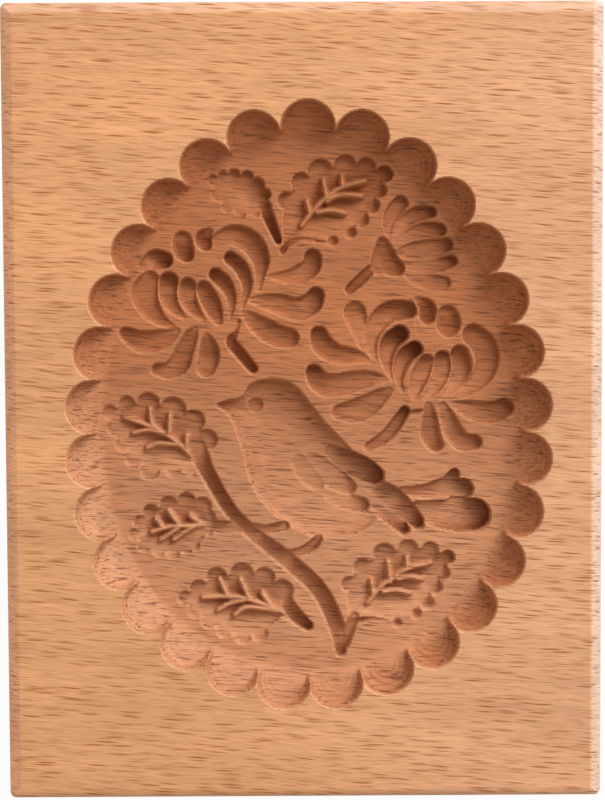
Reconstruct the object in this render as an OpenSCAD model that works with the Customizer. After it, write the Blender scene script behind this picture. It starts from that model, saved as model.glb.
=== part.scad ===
// Carved cookie mould: one beech plank with a scalloped, egg-shaped recess,
// and a songbird, a branch and two chrysanthemums sunk into the floor of the recess.
// The plank lies on its back: carved face up (+Z), top of the picture towards +Y.
// Millimetres. The origin is at the middle of the back.

/* [Board] */
// Width of the plank, along the grain
board_w = 105; // [98:1:160]
// Length of the plank, across the grain
board_l = 140; // [124:1:220]
// Thickness of the plank
board_t = 20; // [14:0.5:40]
// Radius rounded over along the edges of the carved face
face_round = 2.5; // [0.8:0.1:4]
// Radius rounded over along the edges of the back
back_round = 1; // [0.5:0.1:4]
// Radius of the four upright corners, seen from above
corner_r = 1.2; // [0.4:0.1:6]

/* [Recess] */
// Width of the egg that the middles of the scallops lie on
recess_w = 75.8; // [60:0.2:82]
// Length of that egg
recess_l = 97.8; // [80:0.2:106]
// Share by which the upper end of the egg is drawn in
egg_taper = 0.1; // [0:0.01:0.2]
// Shift of the recess to the right of the middle of the plank
recess_x = 0.9; // [-3:0.1:3]
// Shift of the recess towards the top of the plank
recess_y = -0.6; // [-3:0.1:3]
// Depth of the flat floor below the face
floor_depth = 6; // [4.5:0.1:8]
// Slope of the bank that rises from the floor to the scallops, in degrees
bank_slope = 30; // [15:1:36]
// Distance from the egg in to the foot of the bank
bank_in = 1.5; // [0.5:0.1:3]

/* [Scallops] */
// Number of scallops round the egg
scallop_count = 29; // [25:1:33]
// Radius of a scallop at the face
scallop_r = 4.65; // [4.2:0.05:5.4]
// Direction of the first scallop, in degrees from the right-hand end
first_scallop = 90; // [0:1:120]
// Share by which the scallops near the first one stand further apart
scallop_spread = 0.02; // [0:0.01:0.05]

/* [Carving] */
// Depth of a petal where its station says 1
petal_depth = 1.2; // [0.6:0.05:1.6]
// Depth of a stem or the branch where its station says 1
stem_depth = 1.2; // [0.6:0.05:1.6]
// Depth of a feather where its station says 1
feather_depth = 1; // [0.6:0.05:1.3]
// Height by which the bottom of a feather is rounded up to its edges
feather_round = 0.5; // [0.1:0.1:1]
// Power of the curve across a cut: 2 is half an ellipse, more has a flatter bottom
cut_power = 6; // [2:0.5:8]
// Depth of the step round a leaf
leaf_edge = 1; // [0.4:0.1:1.4]
// Depth that a leaf gains from its edge to its middle
leaf_bowl = 1; // [0.4:0.1:2]
// Distance from its edge at which a leaf is at its deepest
leaf_bowl_w = 5; // [3:0.5:8]
// Depth of the steep edge of the bird's body
body_edge = 0.9; // [0.5:0.1:1.5]
// Width of that edge
body_edge_w = 0.5; // [0.3:0.1:1]
// Depth that the bird's body gains inside its edge
body_full = 2; // [1:0.1:3]
// Distance from its edge at which the bird's body is at its deepest
body_full_w = 7; // [5:0.5:10]
// Width of the crest of a vein left standing in a leaf
vein_w = 0.65; // [0.4:0.05:1]
// Share of its width that a vein keeps at its thin end
vein_taper = 0.8; // [0.3:0.05:1]
// Rise of the sides of a vein for each millimetre of their run
vein_steep = 4; // [1.5:0.5:6]
// Depth of the crest of a vein below the recess floor
vein_drop = 0.15; // [0.05:0.05:0.4]
// Depth of the bird's eye below the body round it
eye_sink = 0.7; // [0.3:0.1:1.2]
// Radius of the eye at its rim
eye_r = 1.5; // [1:0.1:2]
// Radius of the bottom of the eye
eye_bottom_r = 0.6; // [0.3:0.1:0.9]

/* [Hidden] */

// Height of the recess floor, and how far a cut runs past the surface that it starts from
floor_z = board_t - floor_depth;
clear = 2;
// Height of a vein, down to the deepest part of a leaf
vein_h = leaf_edge + leaf_bowl;

// The picture is drawn on a sheet: x to the right, y down. sheet_mid is the middle of the egg,
// and sheet_size is the number of sheet units across and along it.
sheet_mid = [308.5, 405.5];
sheet_size = [427.5, 551.5];
unit = [recess_w / sheet_size.x, recess_l / sheet_size.y];
unit_r = (unit.x + unit.y) / 2;

// Steps of a rounded edge, and the thickness of a slice of the plank
round_steps = 3;
slice = 0.01;
// Steps in which the egg is measured, and half the step that gives its direction, in degrees
egg_steps = 360;
egg_half_step = 0.5;
// Places along the arc of a scallop, from the cusp before it at -1 to the cusp after it,
// and the power by which its radius is drawn out to a cusp that lies further off
arc_places = [-0.8, -0.6, -0.4, -0.2, 0, 0.2, 0.4, 0.6, 0.8, 1];
cusp_power = 4;
// Insets of the rings of the bird's body and of a leaf, as shares of the way to their spine
body_shares = [0.03, 0.12, 0.4, 0.9];
leaf_shares = [0.06, 0.9];
// Sides across a cut, and steps between two of its stations
cut_sides = 4;
cut_steps = 1;
// Angle of the section that rounds off an end of a cut
cap_angle = 60;
// Half the share of a cut over which its heading is taken
heading_step = 0.02;
// Ends of the two stretches of a midrib, as shares of its length from tip to base
midrib_ends = [0.05, 0.5, 0.95];
// Sides of a leaf's lobe, the eye and the plank's corners
lobe_fn = 10;
eye_fn = 12;
corner_fn = 12;

// A cut is a row of stations [x, y, half width, depth] on the sheet, from its deep end to its run-out.
// The depth is a multiple of the named depth of such a cut.
left_flower = [
    [[214, 241, 5, 0.9], [234, 235, 10, 1.3], [252, 243, 11, 1.8], [261, 259, 8.5, 1.8],
     [261, 274, 4.5, 1.2], [259, 290, 1.5, 0.3]],
    [[231, 258, 6.5, 1.8], [240, 266, 7, 1.8], [246, 278, 6, 1.5], [247, 290, 4, 1.1],
     [242, 308, 1.5, 0.3]],
    [[216, 275, 7, 1.9], [225, 283, 7, 1.7], [231, 295, 4.8, 1.3], [230, 317, 1.3, 0.3]],
    [[204, 289, 8, 1.6], [211, 302, 9, 1.7], [216, 314, 6.5, 1.3], [219, 322, 3, 0.6]],
    [[188, 286, 8.5, 1.6], [189, 299, 8, 1.3], [196, 311, 5, 0.9], [204, 320, 2, 0.3]],
    [[169, 281, 9.5, 2], [168, 293, 8.5, 1.5], [173, 306, 6, 1], [184, 317, 2, 0.3]],
    [[150, 279, 9, 1.1], [145, 292, 13, 1.3], [149, 306, 10.5, 1.2], [160, 319, 6, 0.8],
     [175, 328, 2, 0.2]],
    [[165, 260, 8, 2], [156, 259, 9.5, 1.7], [147, 264, 7, 0.9]],
    [[187, 255, 7, 1.9], [184, 249, 10, 1.6], [183, 240, 9, 1]],
    [[206, 245, 6, 1.8], [204, 238, 8, 1.5], [210, 231, 3, 0.6]],
    [[313, 258, 8.5, 1.6], [311, 267, 9.5, 1.6], [301, 274, 9, 1.3], [286, 277, 6, 0.8],
     [268, 277, 2, 0.2]],
    [[316, 296, 8.5, 1.8], [310, 305, 11, 1.7], [296, 309, 11, 1.3], [279, 304, 10, 1], [250, 300, 2, 0.2]],
    [[289, 338, 10, 1.3], [276, 335, 11, 1.4], [262, 327, 10, 1.2], [243, 313, 2, 0.2]],
    [[126, 333, 6.5, 1.2], [138, 340, 10, 1.3], [152, 341, 11, 1.2], [176, 331, 4, 0.4]],
    [[157, 369, 6, 1.2], [168, 370, 8, 1.5], [178, 364, 10.5, 1.6], [184, 351, 9, 1.4], [195, 329, 3, 0.3]],
    [[206, 368, 9, 1.3], [209, 356, 10.5, 1.6], [208, 345, 8, 1.2], [206, 335, 3, 0.3]]
];
right_flower = [
    [[355, 313, 11, 0.9], [358, 325, 9, 0.6], [367, 356, 3, 0.2]],
    [[408, 311, 9, 2], [395, 311, 10, 1.9], [383, 317, 10.5, 1.6], [374, 330, 8.5, 1.1],
     [374, 358, 3.5, 0.3]],
    [[400, 335, 9, 3], [391, 343, 9.5, 2.7], [387, 355, 7, 1.8], [389, 370, 3.5, 0.9],
     [392, 380, 1.5, 0.3]],
    [[415, 350, 8, 3], [406, 357, 8.5, 2.6], [400, 369, 6.5, 1.7], [400, 383, 3, 0.8],
     [403, 392, 1.5, 0.3]],
    [[427, 363, 8, 1.8], [421, 376, 9.5, 1.7], [416, 389, 6.5, 1.1], [414, 399, 2, 0.3]],
    [[443, 360, 8.5, 1.8], [442, 373, 9.5, 1.7], [436, 386, 7.5, 1.2], [426, 399, 2.5, 0.3]],
    [[460, 355, 9, 1.8], [462, 369, 10, 1.7], [455, 384, 7, 1.2], [442, 399, 2, 0.3]],
    [[474, 336, 11, 1.5], [485, 347, 12.5, 1.6], [488, 362, 11.5, 1.5], [482, 378, 9.5, 1.2],
     [448, 400, 2, 0.2]],
    [[428, 317, 8, 1.8], [427, 308, 8, 1.5], [417, 300, 2.5, 0.4]],
    [[449, 329, 9, 1.5], [449, 324, 12, 1.5], [448, 316, 10, 1.1]],
    [[319, 335, 8.5, 1.7], [323, 345, 10.5, 1.6], [336, 354, 9.5, 1.3], [354, 357, 7.5, 0.9],
     [372, 363, 2, 0.2]],
    [[314, 373, 8.5, 1.9], [321, 383, 11, 1.6], [335, 386, 11.5, 1.4], [354, 382, 10, 1.2],
     [386, 380, 2.5, 0.2]],
    [[340, 413, 8, 1.1], [354, 412, 11.5, 1.4], [368, 406, 11, 1.3], [390, 391, 3, 0.3]],
    [[436, 446, 7.5, 1.5], [431, 436, 9.5, 1.5], [430, 421, 8, 1.2], [428, 407, 4, 0.3]],
    [[475, 444, 7.5, 1.5], [463, 443, 9, 1.4], [454, 433, 9.5, 1.3], [448, 420, 8, 1], [443, 408, 5, 0.4]],
    [[505, 409, 9.5, 1.7], [492, 414, 11, 1.5], [475, 412, 10, 1.1], [449, 403, 2, 0.2]]
];
bud = [
    [[401, 204, 7.5, 1.3], [393, 214, 7.5, 1.1], [389, 227, 5, 0.7], [390, 240, 2, 0.2]],
    [[431, 213, 6, 1.8], [418, 215, 7.5, 1.5], [404, 224, 6.5, 0.9], [395, 238, 3, 0.2]],
    [[440, 231, 7, 1.7], [425, 231, 8, 1.4], [409, 236, 6, 0.9], [397, 243, 3, 0.2]],
    [[447, 246, 7, 1.7], [431, 250, 10.5, 1.5], [413, 252, 9, 1.1], [398, 254, 3, 0.3]],
    [[452, 262, 6, 1.6], [436, 266, 7.5, 1.3], [418, 267, 6, 0.9], [401, 265, 3, 0.3]],
    [[444, 284, 7, 0.8], [430, 283, 8, 0.8], [415, 278, 6, 0.6], [405, 273, 2, 0.2]],
    [[397, 269, 8, 1.6], [388, 262, 11, 1.6], [383, 244, 6, 1]],
    [[379, 266, 8.5, 1.4], [382, 255, 9, 1.4], [383, 244, 6, 1]]
];
stems = [
    [[252, 368, 4.5, 1.6], [239, 350, 5.5, 1.6], [233, 336, 5, 1.3], [238, 318, 3.5, 0.6]],
    [[404, 413, 5, 1.8], [397, 425, 6, 1.6], [386, 437, 6, 1.5], [369, 448, 4.5, 1.3]],
    [[350, 290, 4.5, 1.6], [362, 279, 5.5, 1.5], [371, 270, 4.5, 1.2]],
    [[340, 655, 5, 2], [337, 633, 7.5, 1.9], [319, 594, 8, 1.9], [286, 562, 8, 1.7], [252, 535, 6.5, 1.7],
     [228, 510, 7, 2], [208, 478, 6.5, 1.9], [204, 462, 6, 1.4]],
    [[245, 528, 5.5, 1.6], [225, 528, 5.5, 1.5], [205, 526, 6, 1.2]],
    [[279, 241, 3.5, 2], [272, 224, 5, 2], [266, 210, 6, 1.8], [264, 196, 6, 1.4]],
    [[306, 628, 5, 1.9], [295, 620, 6.5, 1.7], [284, 611, 9, 1.3]],
    [[318, 540, 4, 1.5], [311, 548, 5, 1.6], [298, 554, 4, 1.3], [282, 556, 4, 1.2]],
    [[247, 528, 4.5, 1.4], [265, 531, 4.5, 1.2], [284, 527, 4.5, 1.4]]
];

// A leaf is [lobes as [x, y, radius] clockwise round it, midrib from tip to base, side veins].
leaves = [
    [[[109, 412, 7], [126, 405, 9], [147, 404, 11.5], [172, 410, 13], [193, 421, 11], [206, 440, 10.5],
      [202, 461, 7], [172, 471, 9], [146, 470, 9.5], [133, 458, 9], [122, 444, 7], [113, 428, 7]],
     [[123, 417], [148, 426], [170, 438], [193, 458]],
     [[[158, 430], [149, 409]], [[168, 434], [169, 415]], [[185, 447], [186, 436]],
      [[162, 434], [132, 433]], [[178, 445], [146, 448]]]],
    [[[135, 531, 6], [141, 521, 6.5], [149, 515, 7.5], [166, 507, 9], [183, 503, 8.5], [200, 507, 9],
      [207, 526, 7], [198, 547, 7], [185, 551, 6], [171, 554, 6], [158, 552, 5], [142, 547, 5]],
     [[150, 533], [168, 528], [188, 527], [206, 526]],
     [[[161, 528], [154, 520]], [[178, 527], [167, 512]], [[198, 525], [189, 517]],
      [[177, 529], [159, 541]], [[191, 528], [172, 541]]]],
    [[[214, 180, 5], [227, 177, 5], [237, 176, 5], [248, 178, 6], [257, 184, 6], [263, 193, 6],
      [262, 206, 6], [243, 211, 5], [230, 205, 5], [221, 194, 6]],
     [[217, 183], [234, 193], [250, 199], [262, 208]],
     []],
    [[[384, 176, 7], [378, 190, 6.5], [371, 206, 6.5], [362, 221, 6.5], [351, 232, 6], [334, 238, 5],
      [290, 243, 4], [287, 202, 8], [300, 184, 8], [320, 173, 11], [345, 167, 10], [367, 169, 9]],
     [[370, 183], [345, 192], [318, 209], [293, 236]],
     [[[306, 218], [307, 203]], [[321, 205], [324, 184]], [[340, 194], [344, 175]],
      [[310, 219], [340, 215]], [[326, 204], [367, 204]]]],
    [[[183, 600, 7], [197, 591, 9], [215, 580, 10.5], [240, 577, 12], [263, 580, 10.5], [281, 593, 11],
      [285, 614, 8], [258, 637, 8], [241, 639, 8], [222, 634, 7], [207, 624, 7], [193, 613, 7]],
     [[201, 600], [225, 599], [250, 603], [284, 616]],
     [[[226, 599], [218, 581]], [[248, 602], [239, 582]], [[269, 608], [261, 596]],
      [[242, 603], [216, 613]], [[276, 614], [233, 618]]]],
    [[[447, 561, 7], [440, 576, 7], [433, 590, 6.5], [425, 606, 6.5], [414, 616, 5.5], [396, 622, 5],
      [350, 624, 4], [347, 588, 7.5], [362, 572, 9], [383, 556, 10], [408, 552, 9.5], [430, 554, 8.5]],
     [[434, 565], [408, 572], [381, 591], [356, 616]],
     [[[364, 606], [368, 584]], [[384, 587], [387, 562]], [[403, 574], [406, 558]],
      [[372, 603], [407, 597]], [[390, 588], [420, 584]]]]
];

// The bird: the outline of its body, clockwise from the beak, the spine that its body deepens to,
// its feathers as cuts from their deep tips to the shoulder, and its eye
bird_outline = [
    [216, 405], [227, 400], [241, 397], [248, 386], [262, 380], [281, 380], [297, 388], [310, 404],
    [324, 422], [342, 441], [356, 456], [372, 474], [383, 492], [385, 507], [376, 521], [361, 533],
    [340, 539], [317, 539], [296, 530], [275, 516], [259, 498], [249, 478], [244, 456], [238, 436],
    [231, 419], [224, 411]
];
bird_spine = [[224, 406], [266, 408], [290, 452], [325, 500], [368, 508]];
bird_feathers = [
    [[314, 487, 6, 3.3], [304, 478, 8, 3.1], [297, 465, 7, 2.9]],
    [[349, 490, 7, 3.7], [340, 485, 10.5, 3.5], [326, 475, 11, 3.1], [312, 463, 8, 2.7]],
    [[362, 508, 7, 3.6], [348, 505, 8, 3.3], [330, 500, 6, 3]],
    [[404, 531, 5.5, 3.3], [387, 514, 9, 2.7], [372, 502, 7, 2.6]],
    [[418, 525, 6.5, 3.7], [405, 512, 10, 3.3], [389, 498, 11, 2.9], [370, 488, 8, 2.6]],
    [[376, 477, 10.5, 4.5], [366, 473, 13, 4.2], [350, 464, 12.5, 3.6], [333, 455, 7.5, 3]],
    [[455, 475, 4.5, 2.2], [448, 488, 9, 2.1]],
    [[463, 491, 10.5, 2.6], [446, 490, 10, 2.2], [425, 493, 6.5, 1.7], [402, 493, 4, 1.4]],
    [[475, 517, 16, 3.4], [460, 517, 16.5, 2.8], [440, 516, 14, 2.2], [418, 512, 9, 1.7]]
];
eye = [255, 406];

// A place on the sheet, and a smooth run through stations: u from 0 to 1
function place(p) = [(p.x - sheet_mid.x) * unit.x, (sheet_mid.y - p.y) * unit.y];
function bend(a, b, c, d, t) =
    b + (c - a) * t / 2 + (2 * a - 5 * b + 4 * c - d) * t * t / 2 + (3 * b - a - 3 * c + d) * t * t * t / 2;
function along(row, u) =
    let (last = len(row) - 1, i = min(floor(u * last), last - 1))
    bend(row[max(i - 1, 0)], row[i], row[i + 1], row[min(i + 2, last)], u * last - i);

// Height of a quarter circle: 0 at a share of 0, 1 at a share of 1 and beyond
function dome(share) = sqrt(1 - pow(1 - min(share, 1), 2));

// A solid lofted through rings of points that run clockwise, seen from outside its first ring
module loft(rings) {
    m = len(rings[0]);
    last = len(rings) - 1;
    skin = [for (k = [0 : last - 1], i = [0 : m - 1], half = [0, 1])
        let (j = (i + 1) % m)
        half == 0
            ? [k * m + j, k * m + i, (k + 1) * m + i]
            : [k * m + j, (k + 1) * m + i, (k + 1) * m + j]];
    ends = [[for (i = [0 : m - 1]) i], [for (i = [m - 1 : -1 : 0]) last * m + i]];
    polyhedron([for (ring = rings, p = ring) p], concat(skin, ends), convexity = 6);
}

// Stations of a cut in millimetres: [middle, half width, heading, depth], with both ends rounded off
function heading(row, u) =
    let (step = place(along(row, min(u + heading_step, 1))) - place(along(row, max(u - heading_step, 0))))
    step / norm(step);
function end_cap(row, u, side) =
    let (s = along(row, u), h = heading(row, u), r = s[2] * unit_r)
    [place(s) + side * h * r * sin(cap_angle), r * cos(cap_angle), h,
        s[3] * sqrt(1 - pow(sin(cap_angle), cut_power))];
function run(row) =
    let (steps = ceil(cut_steps * (len(row) - 1)))
    [for (k = [0 : steps])
        let (u = k / steps, s = along(row, u))
        [place(s), s[2] * unit_r, heading(row, u), s[3]]];
function stations(row) = concat(
    [end_cap(row, 0, -1)],
    run(row),
    [end_cap(row, 1, 1)]
);

// Section of a cut: its bottom is rounded up by a given height, or all the way,
// and upright walls go on from there
function section(s, depth, round_up) =
    let (
        right = [s[2].y, -s[2].x],
        low = depth * s[3],
        up = is_undef(round_up) ? low : min(round_up, low)
    )
    concat(
        [concat(s[0] + right * s[1], clear)],
        [for (k = [0 : cut_sides])
            let (a = 180 * k / cut_sides, across = sign(cos(a)) * pow(abs(cos(a)), 2 / cut_power))
            concat(s[0] + right * s[1] * across, up - low - up * sin(a))],
        [concat(s[0] - right * s[1], clear)]
    );

// A gouge cut, lofted through its stations. z = 0 is the surface that it is cut into
module gouge(row, depth, round_up = undef) {
    loft([for (s = stations(row)) section(s, depth, round_up)]);
}

// The point of a spine that is nearest to a point
function on_stretch(p, a, b) =
    let (way = b - a)
    a + way * max(0, min(1, (p - a) * way / (way * way)));
function nearest(p, spine) =
    let (
        spots = [for (k = [1 : len(spine) - 1]) on_stretch(p, spine[k - 1], spine[k])],
        gaps = [for (spot = spots) norm(spot - p)]
    )
    [for (k = [0 : len(gaps) - 1]) if (gaps[k] == min(gaps)) spots[k]][0];

// A hollow that deepens from a clockwise outline to its spine, by a function of the distance in
module hollow(outline, spine, shares, depth) {
    ways = [for (p = outline) nearest(p, spine) - p];
    function ring(share, level) =
        [for (i = [0 : len(outline) - 1])
            concat(outline[i] + ways[i] * share, is_undef(level) ? -depth(norm(ways[i]) * share) : level)];
    loft(concat([ring(shares[0], clear)], [for (share = shares) ring(share)]));
}

// A vein left standing between two places on the sheet, tapered to its end
module vein_foot(p, turn, wide) {
    translate(concat(place(p), -vein_drop - vein_h)) rotate(turn)
        cylinder(d1 = wide + 2 * vein_h / vein_steep, d2 = wide, h = vein_h, $fn = 4);
}
module vein(a, b, wide) {
    run = place(b) - place(a);
    turn = atan2(run.y, run.x);
    hull() {
        vein_foot(a, turn, wide);
        vein_foot(b, turn, wide * vein_taper);
    }
}

// A leaf: its lobed outline sunk by a step, its middle deepened to the midrib, and the veins left standing
module leaf(lobes, midrib, side_veins) {
    middles = [for (lobe = lobes) place(lobe)];
    difference() {
        union() {
            translate([0, 0, -leaf_edge]) linear_extrude(leaf_edge + clear) {
                polygon(middles);
                for (lobe = lobes) translate(place(lobe)) circle(lobe[2] * unit_r, $fn = lobe_fn);
            }
            hollow(middles, [for (p = midrib) place(p)], leaf_shares,
                function (inside) leaf_edge + leaf_bowl * min(inside / leaf_bowl_w, 1));
        }
        if (len(side_veins) > 0) {
            for (k = [2, 1]) vein(along(midrib, midrib_ends[k]), along(midrib, midrib_ends[k - 1]), vein_w);
            for (v = side_veins) vein(v[0], v[1], vein_w);
        }
    }
}

// The songbird: a full body, deeper feathers and a small round eye
module bird() {
    outline = [for (p = bird_outline) place(p)];
    body_depth = function (inside)
        body_edge * dome(inside / body_edge_w) + body_full * dome(inside / body_full_w);
    eye_inside = norm(nearest(place(eye), outline) - place(eye));
    hollow(outline, [for (p = bird_spine) place(p)], body_shares, body_depth);
    for (cut = bird_feathers) gouge(cut, feather_depth, feather_round);
    translate(concat(place(eye), -body_depth(eye_inside) - eye_sink)) {
        cylinder(r1 = eye_bottom_r, r2 = eye_r, h = eye_sink, $fn = eye_fn);
        translate([0, 0, eye_sink]) cylinder(r = eye_r, h = eye_sink, $fn = eye_fn);
    }
}

// The whole picture, sunk below z = 0
module picture() {
    for (cut = concat(left_flower, right_flower, bud)) gouge(cut, petal_depth);
    for (cut = stems) gouge(cut, stem_depth);
    for (parts = leaves) leaf(parts[0], parts[1], parts[2]);
    bird();
}

// The egg that the scallops lie on, by angle, and its outward normal
function egg(t) = [recess_w / 2 * cos(t) * (1 - egg_taper * sin(t)), recess_l / 2 * sin(t)];
function egg_out(t) = let (d = egg(t + egg_half_step) - egg(t - egg_half_step)) [d.y, -d.x] / norm(d);

// Angle of the egg at scallop i, clockwise from the first one. A half is the cusp between two scallops
function egg_at(i) = egg(i * 360 / egg_steps);
egg_run = [for (i = 0, s = 0; i <= egg_steps; s = s + norm(egg_at(i + 1) - egg_at(i)), i = i + 1)
    [s, i * 360 / egg_steps]];
egg_length = egg_run[egg_steps][0];
first_run = lookup(first_scallop, [for (e = egg_run) [e[1], e[0]]]);
function scallop_angle(i) =
    let (
        turn = 360 * i / scallop_count,
        way = turn / 360 + scallop_spread * sin(turn) / (2 * PI),
        run = (first_run - way * egg_length) / egg_length
    )
    lookup((run - floor(run)) * egg_length, egg_run);

// The cusp after scallop i: on the egg, or outside it where two scallops meet there
function cusp(i) =
    let (t = scallop_angle(i + 0.5), half = norm(egg(t) - egg(scallop_angle(i))))
    egg(t) + egg_out(t) * sqrt(max(scallop_r * scallop_r - half * half, 0));

// Points of the arc of scallop i, up to the cusp after it
function scallop(i) =
    let (
        middle = egg(scallop_angle(i)),
        out = egg_out(scallop_angle(i)),
        side = [out.y, -out.x],
        ways = [cusp(i - 1) - middle, cusp(i) - middle],
        turns = [for (way = ways) atan2(way * side, way * out)]
    )
    [for (u = arc_places)
        let (
            k = u < 0 ? 0 : 1,
            turn = turns[k] * abs(u),
            r = scallop_r + (norm(ways[k]) - scallop_r) * pow(abs(u), cusp_power)
        )
        middle + (out * cos(turn) + side * sin(turn)) * r];

// Points at the foot of the bank, one for each point of that arc
function bank_foot(i) =
    [for (u = arc_places)
        let (t = scallop_angle(i + u / 2))
        egg(t) - egg_out(t) * bank_in];

// The recess: an upright scalloped rim, and a bank that falls from there to the flat floor. z = 0 is the face
module recess() {
    rim = [for (i = [0 : scallop_count - 1], p = scallop(i)) p];
    foot = [for (i = [0 : scallop_count - 1], p = bank_foot(i)) p];
    rise = tan(bank_slope);
    loft([
        [for (p = rim) concat(p, clear)],
        [for (k = [0 : len(rim) - 1]) concat(rim[k], norm(rim[k] - foot[k]) * rise - floor_depth)],
        [for (p = foot) concat(p, -floor_depth)]
    ]);
}

// The plank, rounded over along every edge: one slice of it, and the hull of all slices
module plank_slice(inset, z) {
    corner = max(corner_r - inset, slice);
    translate([0, 0, z]) linear_extrude(slice) offset(r = corner, $fn = corner_fn)
        square([board_w - 2 * (inset + corner), board_l - 2 * (inset + corner)], center = true);
}
module plank() {
    hull() for (k = [0 : round_steps]) {
        a = 90 * k / round_steps;
        plank_slice(back_round * (1 - sin(a)), back_round * (1 - cos(a)));
        plank_slice(face_round * (1 - sin(a)), board_t - slice - face_round * (1 - cos(a)));
    }
}

module mould_board() {
    color("#d9a273") difference() {
        plank();
        translate([recess_x, recess_y, board_t]) recess();
        translate([recess_x, recess_y, floor_z]) picture();
    }
}

mould_board();
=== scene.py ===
"""Carved cookie mould: one beech plank with a scalloped recess and a picture cut into its floor.

The plank is built as a closed mesh round a height field, in which each gouge cut is drawn one by one.
"""

import math

import bpy
import numpy as np
from bpy.props import FloatProperty, FloatVectorProperty, IntProperty, PointerProperty
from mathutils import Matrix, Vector


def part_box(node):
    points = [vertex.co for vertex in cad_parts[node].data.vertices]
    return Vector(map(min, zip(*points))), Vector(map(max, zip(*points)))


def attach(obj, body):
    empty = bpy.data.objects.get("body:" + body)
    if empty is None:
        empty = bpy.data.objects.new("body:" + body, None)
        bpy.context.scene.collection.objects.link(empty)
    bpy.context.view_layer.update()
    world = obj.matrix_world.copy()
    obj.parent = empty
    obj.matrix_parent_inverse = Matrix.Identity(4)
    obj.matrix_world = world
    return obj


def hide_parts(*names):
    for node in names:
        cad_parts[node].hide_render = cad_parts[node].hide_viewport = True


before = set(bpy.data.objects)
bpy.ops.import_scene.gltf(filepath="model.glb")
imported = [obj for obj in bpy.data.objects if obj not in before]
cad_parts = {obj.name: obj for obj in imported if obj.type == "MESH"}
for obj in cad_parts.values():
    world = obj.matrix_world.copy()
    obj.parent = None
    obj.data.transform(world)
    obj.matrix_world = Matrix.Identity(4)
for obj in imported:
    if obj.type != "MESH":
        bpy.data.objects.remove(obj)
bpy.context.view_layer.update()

bl_info = {
    "name": "Carved Cookie Mould",
    "version": (1, 0, 0),
    "blender": (4, 5, 0),
    "location": "3D View > Sidebar > Mould",
    "description": "Builds a beech cookie mould with a scalloped recess and a carved songbird",
    "category": "Add Mesh",
}

MM = 0.001
PLANK_LOW, PLANK_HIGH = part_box("mould_board")
PLANK_W, PLANK_L, PLANK_T = (PLANK_HIGH - PLANK_LOW) / MM
HALF = np.array([PLANK_W, PLANK_L]) / 2
HALF_W, HALF_L = HALF
TINY = 1e-9

# The picture is drawn on a sheet: x to the right, y down, as in the part's source.
# SHEET_MID is the middle of the egg, and SHEET_SIZE is the number of sheet units across and along it.
SHEET_MID = np.array([308.5, 405.5])
SHEET_SIZE = np.array([427.5, 551.5])

# A cut is a row of stations [x, y, half width, depth in millimetres], from its deep end to its run-out.
LEFT_FLOWER = [
    [[214, 241, 5, 0.9], [234, 235, 10, 1.3], [252, 243, 11, 1.8], [261, 259, 8.5, 1.8],
     [261, 274, 4.5, 1.2], [259, 290, 1.5, 0.3]],
    [[231, 258, 6.5, 1.8], [240, 266, 7, 1.8], [246, 278, 6, 1.5], [247, 290, 4, 1.1],
     [242, 308, 1.5, 0.3]],
    [[216, 275, 7, 1.9], [225, 283, 7, 1.7], [231, 295, 4.8, 1.3], [232, 307, 2.8, 0.8],
     [230, 317, 1.3, 0.3]],
    [[204, 289, 8, 1.6], [211, 302, 9, 1.7], [216, 314, 6.5, 1.3], [219, 322, 3, 0.6]],
    [[188, 286, 8.5, 1.6], [189, 299, 8, 1.3], [196, 311, 5, 0.9], [204, 320, 2, 0.3]],
    [[169, 281, 9.5, 2], [168, 293, 8.5, 1.5], [173, 306, 6, 1], [184, 317, 2, 0.3]],
    [[150, 279, 9, 1.1], [145, 292, 13, 1.3], [149, 306, 10.5, 1.2], [160, 319, 6, 0.8],
     [175, 328, 2, 0.2]],
    [[165, 260, 8, 2], [156, 259, 9.5, 1.7], [147, 264, 7, 0.9]],
    [[187, 255, 7, 1.9], [184, 249, 10, 1.6], [183, 240, 9, 1]],
    [[206, 245, 6, 1.8], [204, 238, 8, 1.5], [210, 231, 3, 0.6]],
    [[313, 258, 8.5, 1.6], [311, 267, 9.5, 1.6], [301, 274, 9, 1.3], [286, 277, 6, 0.8],
     [268, 277, 2, 0.2]],
    [[316, 296, 8.5, 1.8], [310, 305, 11, 1.7], [296, 309, 11, 1.3], [279, 304, 10, 1],
     [262, 301, 6, 0.6], [250, 300, 2, 0.2]],
    [[289, 338, 10, 1.3], [276, 335, 11, 1.4], [262, 327, 10, 1.2], [250, 318, 6, 0.7],
     [243, 313, 2, 0.2]],
    [[126, 333, 6.5, 1.2], [138, 340, 10, 1.3], [152, 341, 11, 1.2], [166, 337, 8, 0.9],
     [176, 331, 4, 0.4]],
    [[157, 369, 6, 1.2], [168, 370, 8, 1.5], [178, 364, 10.5, 1.6], [184, 351, 9, 1.4], [190, 337, 7, 1],
     [195, 329, 3, 0.3]],
    [[206, 368, 9, 1.3], [209, 356, 10.5, 1.6], [208, 345, 8, 1.2], [206, 335, 3, 0.3]],
]
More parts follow.
